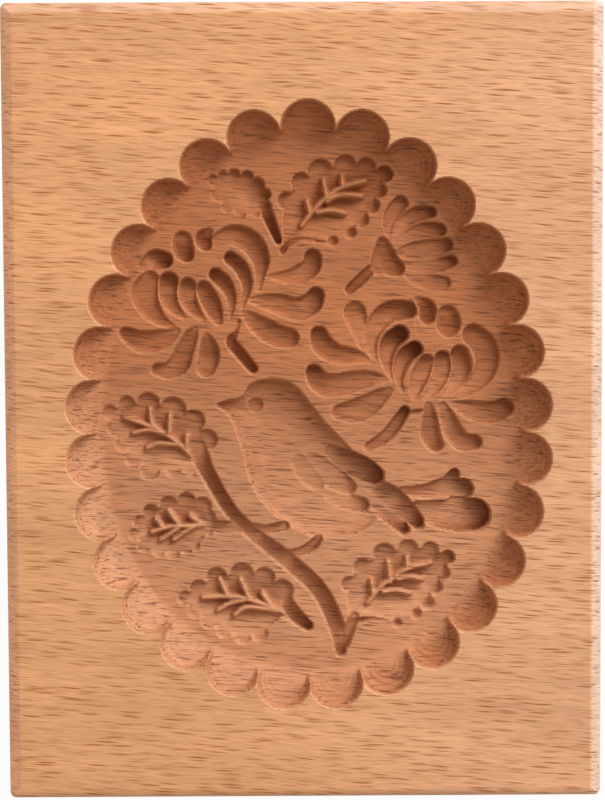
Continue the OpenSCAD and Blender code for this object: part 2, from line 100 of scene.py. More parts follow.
RIGHT_FLOWER = [
    [[355, 313, 11, 0.9], [358, 325, 9, 0.6], [362, 340, 6, 0.4], [367, 356, 3, 0.2]],
    [[408, 311, 9, 2], [395, 311, 10, 1.9], [383, 317, 10.5, 1.6], [374, 330, 8.5, 1.1],
     [371, 344, 6, 0.8], [374, 358, 3.5, 0.3]],
    [[400, 335, 9, 3], [391, 343, 9.5, 2.7], [387, 355, 7, 1.8], [389, 370, 3.5, 0.9],
     [392, 380, 1.5, 0.3]],
    [[415, 350, 8, 3], [406, 357, 8.5, 2.6], [400, 369, 6.5, 1.7], [400, 383, 3, 0.8],
     [403, 392, 1.5, 0.3]],
    [[427, 363, 8, 1.8], [421, 376, 9.5, 1.7], [416, 389, 6.5, 1.1], [414, 399, 2, 0.3]],
    [[443, 360, 8.5, 1.8], [442, 373, 9.5, 1.7], [436, 386, 7.5, 1.2], [426, 399, 2.5, 0.3]],
    [[460, 355, 9, 1.8], [462, 369, 10, 1.7], [455, 384, 7, 1.2], [442, 399, 2, 0.3]],
    [[474, 336, 11, 1.5], [485, 347, 12.5, 1.6], [488, 362, 11.5, 1.5], [482, 378, 9.5, 1.2],
     [468, 390, 7, 0.9], [448, 400, 2, 0.2]],
    [[428, 317, 8, 1.8], [427, 308, 8, 1.5], [417, 300, 2.5, 0.4]],
    [[449, 329, 9, 1.5], [449, 324, 12, 1.5], [448, 316, 10, 1.1]],
    [[319, 335, 8.5, 1.7], [323, 345, 10.5, 1.6], [336, 354, 9.5, 1.3], [354, 357, 7.5, 0.9],
     [372, 363, 2, 0.2]],
    [[314, 373, 8.5, 1.9], [321, 383, 11, 1.6], [335, 386, 11.5, 1.4], [354, 382, 10, 1.2],
     [371, 379, 7, 0.8], [386, 380, 2.5, 0.2]],
    [[340, 413, 8, 1.1], [354, 412, 11.5, 1.4], [368, 406, 11, 1.3], [381, 397, 7.5, 0.9],
     [390, 391, 3, 0.3]],
    [[436, 446, 7.5, 1.5], [431, 436, 9.5, 1.5], [430, 421, 8, 1.2], [428, 407, 4, 0.3]],
    [[475, 444, 7.5, 1.5], [463, 443, 9, 1.4], [454, 433, 9.5, 1.3], [448, 420, 8, 1],
     [443, 408, 5, 0.4]],
    [[505, 409, 9.5, 1.7], [492, 414, 11, 1.5], [475, 412, 10, 1.1], [459, 407, 5, 0.6],
     [449, 403, 2, 0.2]],
]
BUD = [
    [[401, 204, 7.5, 1.3], [393, 214, 7.5, 1.1], [389, 227, 5, 0.7], [390, 240, 2, 0.2]],
    [[431, 213, 6, 1.8], [418, 215, 7.5, 1.5], [404, 224, 6.5, 0.9], [395, 238, 3, 0.2]],
    [[440, 231, 7, 1.7], [425, 231, 8, 1.4], [409, 236, 6, 0.9], [397, 243, 3, 0.2]],
    [[447, 246, 7, 1.7], [431, 250, 10.5, 1.5], [413, 252, 9, 1.1], [398, 254, 3, 0.3]],
    [[452, 262, 6, 1.6], [436, 266, 7.5, 1.3], [418, 267, 6, 0.9], [401, 265, 3, 0.3]],
    [[444, 284, 7, 0.8], [430, 283, 8, 0.8], [415, 278, 6, 0.6], [405, 273, 2, 0.2]],
    [[397, 269, 8, 1.6], [388, 262, 11, 1.6], [383, 244, 6, 1]],
    [[379, 266, 8.5, 1.4], [382, 255, 9, 1.4], [383, 244, 6, 1]],
]
STEMS = [
    [[239, 321, 1.5, 0.5], [236, 332, 2, 0.6], [231, 341, 5, 1.5], [239, 352, 5.5, 1.7],
     [248, 363, 5, 1.7], [253, 369, 4.5, 1.6]],
    [[405, 412, 5, 1.8], [397, 424, 6, 1.7], [386, 437, 6, 1.5], [369, 448, 4.5, 1.3]],
    [[371, 270, 4.5, 1.2], [362, 279, 5.5, 1.5], [350, 290, 4.5, 1.6]],
    [[196, 447, 9, 1.5], [201, 462, 8.5, 1.8], [207, 474, 7, 2], [228, 510, 6.5, 2], [252, 535, 6.5, 1.7],
     [286, 562, 8, 1.7], [319, 594, 8, 1.9], [337, 633, 7.5, 1.9], [340, 655, 5, 2]],
    [[196, 526, 4, 0.6], [207, 526, 6, 1.1], [222, 528, 5.5, 1.4], [245, 528, 5.5, 1.6]],
    [[264, 203, 5, 1.5], [268, 214, 5.5, 1.8], [272, 224, 5, 2], [279, 241, 3.5, 2]],
    [[284, 598, 5, 1.2], [288, 610, 7, 1.7], [296, 620, 7, 1.9], [307, 629, 5, 1.9]],
    [[354, 620, 4.5, 1], [348, 634, 5.5, 1.6], [343, 648, 5, 1.9]],
    [[345, 637, 3, 1.6], [354, 626, 2.5, 1.4], [368, 622.5, 2.2, 1], [386, 624, 1.5, 0.3]],
    [[283, 251, 2.8, 1.7], [290, 243, 2.6, 1.4], [301, 239.5, 2.3, 1.1], [314, 241, 2, 0.8],
     [327, 243, 1.5, 0.3]],
    [[421, 412, 2, 0.9], [411, 413.5, 1.8, 0.8]],
    [[318, 540, 4, 1.5], [311, 548, 5, 1.6], [298, 554, 4, 1.3], [282, 556, 4, 1.2]],
    [[247, 528, 4.5, 1.4], [265, 531, 4.5, 1.2], [284, 527, 4.5, 1.4]],
]

# A leaf is [lobes in order round it as [x, y, radius, depth at its edge], veins with the midrib first,
# round dots as stations, share of the full bowl].
LEAVES = [
    [[[109, 412, 7, 0.8], [126, 405, 9, 1.2], [147, 404, 11.5, 1.3], [172, 410, 13, 1.3],
      [193, 421, 11, 1.3], [206, 440, 10.5, 1.3], [203, 458, 6, 1.2], [190, 469, 7, 0.7],
      [172, 469, 8, 0.6], [149, 470, 9.5, 0.8], [133, 458, 9, 0.8], [122, 444, 7, 0.8],
      [113, 428, 7, 0.9]],
     [[[123, 417], [148, 426], [170, 438], [193, 458]], [[149, 409], [151, 423], [158, 430]],
      [[169, 415], [168, 434]], [[186, 436], [185, 447]], [[132, 433], [148, 430], [162, 434]],
      [[146, 448], [158, 444], [178, 445]]],
     [], 0.85],
    [[[133, 535, 6, 1], [139, 523, 7, 1.3], [149, 513, 8, 1.4], [167, 506, 9, 1.4], [185, 502, 9, 1.4],
      [201, 507, 9, 1.4], [208, 518, 6, 1.2], [206, 533, 5, 1], [193, 547, 5, 0.9], [185, 550, 6, 0.9],
      [171, 554, 6, 0.9], [157, 552, 6, 0.9], [142, 547, 6, 1]],
     [[[150, 533], [168, 528], [188, 527], [206, 526]], [[154, 520], [161, 528]],
      [[167, 512], [178, 527]], [[189, 517], [198, 525]], [[159, 541], [177, 529]],
      [[172, 541], [191, 528]]],
     [], 1.3],
    [[[214, 180, 5, 0.9], [224, 177, 5.5, 1.1], [235, 175.5, 6, 1.4], [248, 178, 6.5, 1.6],
      [258, 185, 7, 2], [265, 195, 6.5, 2.2], [266, 207, 6, 2.2], [257, 212, 4.5, 1.4],
      [242, 213, 5, 0.95], [228, 207, 5.5, 0.85], [218, 195, 5.5, 0.85]],
     [],
     [], 0.3],
    [[[385, 175, 8.5, 2.3], [379, 191, 8, 2.1], [372, 206, 8, 1.8], [362, 220, 7, 1.4],
      [350, 230, 5, 0.7], [333, 237, 4, 0.5], [305, 239, 3, 0.7], [284, 249, 3, 1.1],
      [287, 201, 8.5, 1.6], [302, 183, 9.5, 1.5], [321, 172, 12, 1.5], [346, 167, 11, 1.6],
      [367, 168, 9.5, 1.9]],
     [[[365, 182], [343, 188], [327, 198], [313, 212], [302, 226]], [[307.5, 202], [310, 212]],
      [[324, 181], [327, 198]], [[342.5, 177], [343, 187]], [[345, 214], [332, 211], [318, 213]],
      [[361, 197], [348, 195.5], [336, 197], [328, 202]]],
     [[363, 221, 6.5, 1.6], [351, 233, 6, 1.4], [333, 241, 5.5, 1.2]], 1],
    [[[183, 600, 7, 0.9], [197, 591, 9, 1.2], [215, 580, 10.5, 1.3], [240, 577, 12, 1.3],
      [263, 580, 10.5, 1.3], [281, 593, 11, 1.4], [285, 614, 8, 1.2], [258, 637, 8, 0.8],
      [241, 639, 8, 0.8], [222, 634, 7, 0.8], [207, 624, 7, 0.8], [193, 613, 7, 0.9]],
     [[[201, 600], [225, 599], [250, 603], [284, 616]], [[218, 581], [226, 599]],
      [[239, 582], [248, 602]], [[261, 596], [269, 608]], [[216, 613], [228, 606], [242, 603]],
      [[233, 618], [246, 610], [276, 614]]],
     [], 1],
    [[[448, 560, 7, 1.8], [443, 576, 7, 1.6], [435, 590, 7.5, 1.5], [425, 604, 6.5, 1],
      [413, 614, 4, 0.5], [396, 621, 4, 0.35], [362, 618, 3, 0.5], [350, 624, 4, 0.8],
      [348, 587, 7.5, 1.2], [362, 570, 9, 1.3], [384, 557, 11.5, 1.3], [408, 552, 10, 1.3],
      [430, 553, 8.5, 1.2]],
     [[[430, 566], [407, 572], [392, 582], [380, 590], [367, 607]], [[371, 585], [373, 598]],
      [[388, 565], [390, 585]], [[407, 560], [407, 572]], [[410, 597], [396, 594], [383, 595]],
      [[422, 582], [410, 580], [398, 582]]],
     [[427, 606, 7, 1.4], [416, 617, 5.5, 1.2], [397, 626, 4.5, 1]], 1],
]

# The songbird: the outline of its body, then feathers from the shoulder to their deep tips
BIRD_OUTLINE = [
    [216, 405], [227, 400], [241, 397], [248, 386], [262, 380], [281, 380], [297, 388], [310, 404],
    [324, 422], [342, 441], [356, 456], [372, 474], [383, 492], [385, 507], [376, 521], [361, 533],
    [340, 539], [317, 539], [296, 530], [275, 516], [259, 498], [249, 478], [244, 456], [238, 436],
    [231, 419], [224, 411],
]
FEATHERS = [
    [[298, 464, 8, 3.2], [305, 475, 9.5, 3.3], [316, 486, 7.5, 3.5]],
    [[312, 463, 8, 3.1], [326, 475, 11, 3.3], [340, 485, 10.5, 3.6], [349, 490, 7, 3.9]],
    [[330, 500, 6, 3.1], [348, 505, 8, 3.4], [362, 508, 7, 3.9]],
    [[372, 502, 7, 2.6], [387, 514, 9, 2.7], [404, 531, 5.5, 3.3]],
    [[370, 488, 8, 2.6], [389, 498, 11, 2.9], [405, 512, 10, 3.3], [418, 525, 6.5, 3.7]],
    [[331, 453, 6.5, 3.2], [348, 463, 11, 3.5], [364, 471, 11.5, 3.9], [375, 477, 9, 4.2]],
    [[448, 488, 9, 2.1], [455, 475, 4.5, 2.2]],
    [[402, 493, 4, 1.4], [425, 493, 6.5, 1.7], [446, 490, 10, 2.2], [463, 491, 10.5, 2.6]],
    [[418, 512, 9, 1.7], [440, 516, 14, 2.2], [460, 517, 16.5, 3], [475, 517, 16, 3.8]],
]
EYE = [[255, 406, 7.5, 1]]

# How lengths and colours show in the panel
LENGTH = {"unit": "LENGTH", "precision": 4}
COLOUR = {"subtype": "COLOR", "min": 0, "max": 1}


class MouldRecess(bpy.types.PropertyGroup):
    """Sizes of the plank's edges and of its scalloped recess."""

    bevel_w: FloatProperty(
        name="Bevel width",
        description="Width of the bevel along the edges of the carved face, seen from above",
        default=1.9 * MM, **LENGTH)
    bevel_h: FloatProperty(
        name="Bevel height", description="Height of that bevel", default=0.75 * MM, **LENGTH)
    bevel_in: FloatProperty(
        name="Bevel inset", description="Width of the rounding from the bevel's lower edge out to the side",
        default=0.28 * MM, **LENGTH)
    bevel_drop: FloatProperty(
        name="Rounding height", description="Height of that rounding", default=1.6 * MM, **LENGTH)
    back_round: FloatProperty(
        name="Back edge", description="Radius rounded over along the edges of the back",
        default=1.0 * MM, **LENGTH)
    corner: FloatProperty(
        name="Corner", description="Radius of the upright corners", default=1.2 * MM, **LENGTH)
    egg_w: FloatProperty(
        name="Egg width", description="Width of the egg that the middles of the scallops lie on",
        default=75.8 * MM, **LENGTH)
    egg_l: FloatProperty(
        name="Egg length", description="Length of that egg", default=97.8 * MM, **LENGTH)
    egg_taper: FloatProperty(
        name="Egg taper", description="Share by which the upper end of the egg is drawn in",
        default=0.1, subtype="FACTOR")
    shift: FloatVectorProperty(
        name="Shift", description="Shift of the egg from the middle of the plank",
        default=(0.9 * MM, -0.6 * MM), size=2, **LENGTH)
    floor_depth: FloatProperty(
        name="Floor depth", description="Depth of the flat floor below the face",
        default=6.0 * MM, **LENGTH)
    bank_slope: FloatProperty(
        name="Bank slope", description="Slope of the bank that rises from the floor to the scallops",
        default=math.radians(30), subtype="ANGLE")
    bank_in: FloatProperty(
        name="Bank foot", description="Distance from the egg in to the foot of the bank",
        default=1.5 * MM, **LENGTH)
    scallops: IntProperty(
        name="Scallops", description="Number of scallops round the egg", default=29)
    scallop_r: FloatProperty(
        name="Scallop radius", description="Radius of a scallop at the face", default=4.65 * MM, **LENGTH)
    first_scallop: FloatProperty(
        name="First scallop", description="Direction of the first scallop from the right-hand end",
        default=math.radians(90), subtype="ANGLE")
    scallop_spread: FloatProperty(
        name="Scallop spread",
        description="Share by which the scallops stand further apart at the upper end",
        default=0.02, subtype="FACTOR")


class MouldCarving(bpy.types.PropertyGroup):
    """Depths and widths of the picture's cuts."""

    grid: FloatProperty(
        name="Grid", description="Spacing of the height field",
        default=0.2 * MM, unit="LENGTH", precision=5)
    triangles: IntProperty(
        name="Triangles", description="Number of triangles that the plank is thinned out to",
        default=190000)
    leaf_bowl: FloatProperty(
        name="Leaf bowl", description="Depth that a leaf gains from its edge to its middle",
        default=1.05 * MM, **LENGTH)
    vein_w: FloatProperty(
        name="Vein width", description="Width of the crest of a vein left standing in a leaf",
        default=0.5 * MM, **LENGTH)
    body_edge: FloatProperty(
        name="Body edge", description="Depth of the steep edge of the bird's body",
        default=0.9 * MM, **LENGTH)
    body_depth: FloatProperty(
        name="Body fullness", description="Depth that the bird's body gains inside its edge",
        default=2.0 * MM, **LENGTH)


class MouldBeech(bpy.types.PropertyGroup):
    """Colours of the beech."""

    face: FloatVectorProperty(
        name="Face", description="Planed face of the plank", default=(0.74, 0.365, 0.168), **COLOUR)
    # This colour also serves as painted shade on the lower-right bank.
    cut: FloatVectorProperty(
        name="Cut", description="Carved wood towards the upper end of the recess",
        default=(0.468, 0.161, 0.056), **COLOUR)
    cut_low: FloatVectorProperty(
        name="Lower cut", description="Carved wood towards the lower end of the recess",
        default=(0.58, 0.256, 0.122), **COLOUR)
    # Painted shade: this colour darkens the narrow deep cuts where shade falls.
    groove_shade: FloatVectorProperty(
        name="Groove", description="Dark oil and dust that stay in the narrow cuts",
        default=(0.23, 0.052, 0.003), **COLOUR)
    # Painted highlight: pale colour on sharp edges and on the lower-left bank, which faces the lamp.
    edge: FloatVectorProperty(
        name="Edge", description="Sharp edges and the bank at lower left, worn pale",
        default=(0.82, 0.47, 0.27), **COLOUR)
    # Painted sheen: the face turns paler towards the right, where the lamp's sheen falls.
    face_sheen_right: FloatVectorProperty(
        name="Right face", description="Planed face towards the plank's right end",
        default=(0.72, 0.372, 0.198), **COLOUR)
    fleck: FloatVectorProperty(
        name="Fleck", description="Dark ray flecks on the planed face",
        default=(0.37, 0.105, 0.014), **COLOUR)
    line: FloatVectorProperty(
        name="Line", description="Dark lines along the grain of carved wood",
        default=(0.16, 0.05, 0.015), **COLOUR)
    end: FloatVectorProperty(
        name="End grain", description="End grain on the plank's left and right edges",
        default=(0.74, 0.37, 0.2), **COLOUR)
    # Painted sheen: the right-hand and upper bevels are paler where they face the lamp.
    bevel_sheen: FloatVectorProperty(
        name="Rubbed", description="Right-hand and upper bevels rubbed pale by hands",
        default=(0.76, 0.56, 0.44), **COLOUR)


def place(points, egg):
    """Sheet points, with any further columns kept, in millimetres from the middle of the egg."""
    points = np.array(points, float)
    unit = egg / SHEET_SIZE
    spots = points.copy()
    spots[:, :2] = (points[:, :2] - SHEET_MID) * unit * (1, -1)
    if points.shape[1] > 2:
        spots[:, 2] *= unit.mean()
    return spots


BEND_STEPS = 8


def bend(row, closed=False):
    """A smooth run through the rows of an array, with a few steps between two of them."""
    last = len(row) - 1
    if closed:
        a, b, c, d = (np.roll(row, k, axis=0) for k in (1, 0, -1, -2))
    else:
        padded = np.vstack([row[:1], row, row[-1:]])
        a, b, c, d = (padded[k:k + last] for k in range(4))
    t = (np.arange(BEND_STEPS) / BEND_STEPS)[None, :, None]
    a, b, c, d = (part[:, None, :] for part in (a, b, c, d))
    square, cube = 2 * a - 5 * b + 4 * c - d, 3 * b - a - 3 * c + d
    run = b + (c - a) * t / 2 + square * t**2 / 2 + cube * t**3 / 2
    run = run.reshape(-1, row.shape[1])
    return run if closed else np.vstack([run, row[-1:]])


def dome(share):
    """Height of a quarter circle: 0 at a share of 0, 1 at a share of 1 and beyond."""
    return np.sqrt(1 - (1 - np.clip(share, 0, 1)) ** 2)


def trough(share, flat):
    """Depth across a cut: 1 at its middle, 0 from a share of 1 outwards, flatter for a higher power."""
    return np.sqrt(1 - np.clip(share, 0, 1) ** flat)


class Relief:
    """A grid of depths below the face, in millimetres, and the places of its points."""

    def __init__(self, xs, ys):
        self.x, self.y = np.meshgrid(xs, ys)
        self.depth = np.zeros_like(self.x)

    def window(self, points, margin):
        """The slice of the grid round some points, and its places."""
        low, high = points[:, :2].min(0) - margin, points[:, :2].max(0) + margin
        col = np.searchsorted(self.x[0], (low[0], high[0]))
        line = np.searchsorted(self.y[:, 0], (low[1], high[1]))
        part = np.s_[line[0]:line[1], col[0]:col[1]]
        return part, self.x[part], self.y[part]

    def sink(self, part, depth):
        """Deepens a slice of the grid to the given depth where that is lower."""
        self.depth[part] = np.maximum(self.depth[part], depth)


def nearest_on(x, y, a, b):
    """How far along the stretch from a to b the nearest point lies, from 0 to 1, and the distance to it."""
    step = b[:2] - a[:2]
    t = np.clip(((x - a[0]) * step[0] + (y - a[1]) * step[1]) / max(step @ step, TINY), 0, 1)
    return t, np.hypot(x - a[0] - t * step[0], y - a[1] - t * step[1])


def along_row(x, y, row):
    """The nearest part of a run of stations: distance over half width, and the depth there."""
    share = np.full(x.shape, np.inf)
    depth = np.zeros(x.shape)
    for a, b in zip(row[:-1], row[1:]):
        t, away = nearest_on(x, y, a, b)
        s = away / (a[2] + t * (b[2] - a[2]))
        near = s < share
        share = np.where(near, s, share)
        depth = np.where(near, a[3] + t * (b[3] - a[3]), depth)
    return share, depth


def distance_to_run(x, y, run):
    """Distance to the nearest stretch of a run of points."""
    nearest = np.full(x.shape, np.inf)
    for a, b in zip(run[:-1], run[1:]):
        nearest = np.minimum(nearest, nearest_on(x, y, a, b)[1])
    return nearest


def depth_inside(x, y, outline):
    """Distance in from a closed outline: above 0 inside it, below 0 outside."""
    inside = np.zeros(x.shape, bool)
    for a, b in zip(outline, np.roll(outline, -1, axis=0)):
        across = (a[1] > y) != (b[1] > y)
        rise = b[1] - a[1] if b[1] != a[1] else TINY
        inside ^= across & (x < a[0] + (y - a[1]) * (b[0] - a[0]) / rise)
    edge = distance_to_run(x, y, np.vstack([outline, outline[:1]]))
    return np.where(inside, edge, -edge)


def cut_along(picture, row, profile):
    """One cut along a row of stations, with a profile of its depth from its middle to its edge."""
    run = bend(row)
    part, x, y = picture.window(run, run[:, 2].max())
    picture.sink(part, profile(*along_row(x, y, run)))


# Gouge cuts: how flat their bottoms are, and how much deeper they are sunk than drawn
GOUGE_FLAT = 9.0
SINK = 1.2
# Feathers: rise of their bottoms towards the edge, in millimetres, and how flat they are
FEATHER_ROUND = 0.25
FEATHER_FLAT = 3.0


def gouge(share, depth):
    """Profile of a gouge cut: a round bottom."""
    return SINK * depth * trough(share, GOUGE_FLAT)


def feather(share, depth):
    """Profile of a feather: a slightly round bottom whose edges step down from what lies round it."""
    rise = FEATHER_ROUND * (1 - trough(share, FEATHER_FLAT))
    return np.where(share < 1, depth - rise, 0)


# Leaves, in millimetres: width of the steep edge, growth beyond the lobes' middles, way to the full bowl.
# Then how fast a lobe's depth loses its hold, drop and steepness of the veins, and how flat the dots are.
LEAF_EDGE = 0.35
LEAF_GROW = 0.25
LEAF_BOWL = 4.0
LEAF_PULL = 3.0
VEIN_DROP = 0.15
VEIN_STEEP = 4.0
DOT_FLAT = 2.5


def leaf(picture, lobes, veins, dots, bowl, vein_w):
    """One leaf: a lobed hollow that deepens towards its middle, with the veins left standing in it."""
    part, x, y = picture.window(lobes, 2 * lobes[:, 2].max())
    inside = depth_inside(x, y, lobes[:, :2]) + LEAF_GROW
    deep = bowl * np.clip(inside / LEAF_BOWL, 0, 1)
    edge, pulls = np.zeros(x.shape), np.zeros(x.shape)
    for lobe in lobes:
        away = np.hypot(x - lobe[0], y - lobe[1])
        inside = np.maximum(inside, lobe[2] - away)
        pull = np.maximum(away, lobe[2] / 2) ** -LEAF_PULL
        edge += lobe[3] * pull
        pulls += pull
    cut = np.where(inside > 0, edge / pulls * dome(inside / LEAF_EDGE) + deep, 0)
    for vein in veins:
        away = distance_to_run(x, y, bend(vein)) - vein_w / 2
        cut = np.minimum(cut, VEIN_DROP + VEIN_STEEP * np.clip(away, 0, None))
    for dot in dots:
        share = np.hypot(x - dot[0], y - dot[1]) / dot[2]
        cut = np.maximum(cut, dot[3] * trough(share, DOT_FLAT))
    picture.sink(part, cut)


# The bird's body, in millimetres: width of its steep edge, and way in to its full depth
BODY_EDGE_W = 0.5
BODY_FULL_W = 7.0


def songbird(picture, egg, edge, fullness):
    """The bird: a full body, its feathers and its eye."""
    outline = bend(place(BIRD_OUTLINE, egg), closed=True)
    part, x, y = picture.window(outline, BODY_EDGE_W)
    inside = depth_inside(x, y, outline)
    body = edge * dome(inside / BODY_EDGE_W) + fullness * dome(inside / BODY_FULL_W)
    picture.sink(part, np.where(inside > 0, body, 0))
    for row in FEATHERS:
        cut_along(picture, place(row, egg), feather)
    x_eye, y_eye, r_eye, sunk = place(EYE, egg)[0]
    away = np.hypot(picture.x - x_eye, picture.y - y_eye) / r_eye
    picture.depth += np.where(away < 1, sunk * dome(1 - away), 0)


def picture_depth(xs, ys, egg, carving):
    """Depth of the whole picture below the recess floor."""
    picture = Relief(xs, ys)
    for row in LEFT_FLOWER + RIGHT_FLOWER + BUD + STEMS:
        cut_along(picture, place(row, egg), gouge)
    for lobes, veins, dots, full in LEAVES:
        standing = [place(vein, egg) for vein in veins]
        rounds = [place([dot], egg)[0] for dot in dots]
        bowl = full * carving.leaf_bowl / MM
        leaf(picture, place(lobes, egg), standing, rounds, bowl, carving.vein_w / MM)
    songbird(picture, egg, carving.body_edge / MM, carving.body_depth / MM)
    return picture.depth


# The egg: points round it, and how many of them are left out to measure the distance from it
EGG_STEPS = 720
EGG_SKIP = 4
# The recess, in millimetres: width of the rounded rim, bend at the foot of the bank, way to its full colour
RIM_W = 0.8
BANK_BEND = 0.3
BANK_FADE = 3.0
# Tool marks, in millimetres: spacing, depth, fade at the rim and reach in from it.
# Then the strength of the weakest, how much stronger they are on the right, and the seed of their luck.
TOOL_STEP = 1.0
TOOL_MARK = 0.11
TOOL_START = 0.8
TOOL_REACH = 3.6
TOOL_WEAKEST = 0.4
TOOL_SIDE = 0.5
TOOL_SEED = 29


def egg_line(recess):
    """Points of the egg that the scallops lie on, anticlockwise, and its length up to each of them."""
    t = np.linspace(0, 2 * math.pi, EGG_STEPS + 1)
    half_w, half_l = recess.egg_w / MM / 2, recess.egg_l / MM / 2
    line = np.stack([half_w * np.cos(t) * (1 - recess.egg_taper * np.sin(t)), half_l * np.sin(t)], axis=1)
    length = np.concatenate([[0], np.cumsum(np.hypot(*np.diff(line, axis=0).T))])
    return t, line, length


def at_length(along, length, line):
    """The point of a closed line at a given length along it."""
    along = along % length[-1]
    return np.array([np.interp(along, length, line[:, axis]) for axis in range(2)])


def banked_floor(out, recess):
    """Depth of the floor and of the bank round it, by the distance out from the egg."""
    past = out + recess.bank_in / MM
    rise = (past + np.sqrt(past**2 + BANK_BEND**2)) / 2 * math.tan(recess.bank_slope)
    return recess.floor_depth / MM - rise


def tool_marks(rim, out, strength, start):
    """Depth of the gouge's rings in one scallop, by the distances in from its rim and out from the egg."""
    fade = np.clip(rim / TOOL_START, 0, 1) * np.clip(TOOL_REACH - rim, 0, 1) * np.clip(out, 0, 1)
    return TOOL_MARK * strength * fade * np.sin(2 * math.pi * (rim / TOOL_STEP + start))


def recess_depth(xs, ys, recess):
    """Depth of the scalloped recess below the face, where its bank is, and the depth of the tool marks."""
    hollow = Relief(xs, ys)
    radius = recess.scallop_r / MM
    t, line, length = egg_line(recess)
    part, x, y = hollow.window(line, 2 * radius)
    out = np.full(hollow.x.shape, 2 * radius)
    out[part] = -depth_inside(x, y, line[:-1:EGG_SKIP])
    first = np.interp(recess.first_scallop, t, length)
    turns = 2 * math.pi * np.arange(0, recess.scallops, 0.5) / recess.scallops
    lengths = first + length[-1] * (turns + recess.scallop_spread * np.sin(turns)) / (2 * math.pi)

    inside = np.full(hollow.x.shape, radius)
    for along in lengths[1::2]:
        cusp = at_length(along, length, line)
        part, x, y = hollow.window(cusp[None, :], radius)
        inside[part] = np.minimum(inside[part], np.hypot(x - cusp[0], y - cusp[1]))
    inside[out > 0] = 0
    luck = np.random.default_rng(TOOL_SEED)
    marks = np.zeros(hollow.x.shape)
    for along in lengths[::2]:
        middle = at_length(along, length, line)
        part, x, y = hollow.window(middle[None, :], radius)
        rim = radius - np.hypot(x - middle[0], y - middle[1])
        inside[part] = np.where((rim > 0) & (out[part] > 0), rim, inside[part])
        strength = luck.uniform(TOOL_WEAKEST, 1) * (1 + TOOL_SIDE * middle[0] / line[:, 0].max())
        marks[part] += tool_marks(rim, out[part], strength, luck.uniform(0, 1))
    bank = np.clip((out + recess.bank_in / MM) / BANK_FADE, 0, 1) * (inside > 0)
    return banked_floor(out, recess) * dome(inside / RIM_W) + marks, bank, marks


def soften(depth):
    """The same depths with their edges worn round by one step of the grid."""
    for axis in (0, 1):
        depth = (np.roll(depth, 1, axis) + 2 * depth + np.roll(depth, -1, axis)) / 4
    return depth


def blurred(depth, steps):
    """Depths evened out over a number of steps of the grid."""
    reach = np.arange(-2 * steps, 2 * steps + 1)
    weights = np.exp(-0.5 * (reach / steps) ** 2)
    weights /= weights.sum()
    for axis in (0, 1):
        depth = np.apply_along_axis(np.convolve, axis, depth, weights, "same")
    return depth


# Edges: steps of a bevel or rounding, steps of a side, how far the bevel bends and how far along the front,
# and the share of the face's length at which the front begins
ROUND_STEPS = 6
SIDE_STEPS = 4
BEVEL_BEND = 1.2
FRONT_BEND = 3.0
FRONT_SHARE = 0.9999


def plank_rings(recess):
    """Rings of the plank's edge, face to back: half sizes, height, the front's height, corner radius."""
    bevel_w, bevel_h = recess.bevel_w / MM, recess.bevel_h / MM
    bevel_in, bevel_drop = recess.bevel_in / MM, recess.bevel_drop / MM
    back, corner = recess.back_round / MM, recess.corner / MM
    rings = []
    for k in range(1, ROUND_STEPS + 1):
        down = k / ROUND_STEPS
        inset = bevel_in + bevel_w * (1 - down)
        rings.append((inset, PLANK_T - bevel_h * down**BEVEL_BEND, PLANK_T - bevel_h * down**FRONT_BEND))
    for k in range(1, SIDE_STEPS + 1):
        down = k / SIDE_STEPS
        height = PLANK_T - bevel_h - bevel_drop * down
        rings.append((bevel_in * (1 - down) ** 2, height, height))
    side = PLANK_T - bevel_h - bevel_drop
    for k in range(1, SIDE_STEPS):
        height = side - (side - back) * k / SIDE_STEPS
        rings.append((0, height, height))
    for k in range(ROUND_STEPS + 1):
        turn = math.pi / 2 * k / ROUND_STEPS
        height = back * (1 - math.sin(turn))
        rings.append((back * (1 - math.cos(turn)), height, height))
    return [(HALF - inset, height, front, max(corner - inset, 0)) for inset, height, front in rings]


def round_corner(spots, half, radius):
    """Points of a rectangle's outline with those near its corners moved onto an arc."""
    if radius <= 0:
        return spots
    past = np.abs(spots) - (half - radius)
    corner = (past > 0).all(axis=1)
    away = np.hypot(past[:, 0], past[:, 1])
    moved = np.sign(spots) * (half - radius + past * (radius / np.where(away > 0, away, 1))[:, None])
    return np.where(corner[:, None], moved, spots)


def border_of(index):
    """The border of a grid of indices, anticlockwise from its first corner."""
    return np.concatenate([index[0, :-1], index[:-1, -1], index[-1, :0:-1], index[:0:-1, 0]])


def plank_mesh(xs, ys, depth, recess):
    """The plank as one closed mesh: the carved face, the rings of its edges and its back."""
    x, y = np.meshgrid(xs, ys)
    spots = [np.stack([x.ravel(), y.ravel(), PLANK_T - depth.ravel()], axis=1)]
    index = np.arange(depth.size).reshape(depth.shape)
    corners = [index[:-1, :-1], index[:-1, 1:], index[1:, 1:], index[1:, :-1]]
    quads = [np.stack(corners, axis=-1).reshape(-1, 4)]
    ring = border_of(index)
    flat = spots[0][ring, :2] / np.array([xs[-1], ys[-1]])
    at_front = flat[:, 1] < -FRONT_SHARE
    made = depth.size
    for half, height, front, corner in plank_rings(recess):
        edge = round_corner(flat * half, half, corner)
        spots.append(np.column_stack([edge, np.where(at_front, front, height)]))
        below = made + np.arange(len(edge))
        quads.append(np.stack([ring, below, np.roll(below, -1), np.roll(ring, -1)], axis=-1))
        ring = below
        made += len(edge)
    mesh = bpy.data.meshes.new("carved_board")
    faces = np.vstack(quads).tolist() + [ring[::-1].tolist()]
    mesh.from_pydata((np.vstack(spots) * MM).tolist(), [], faces)
    mesh.update()
    return mesh


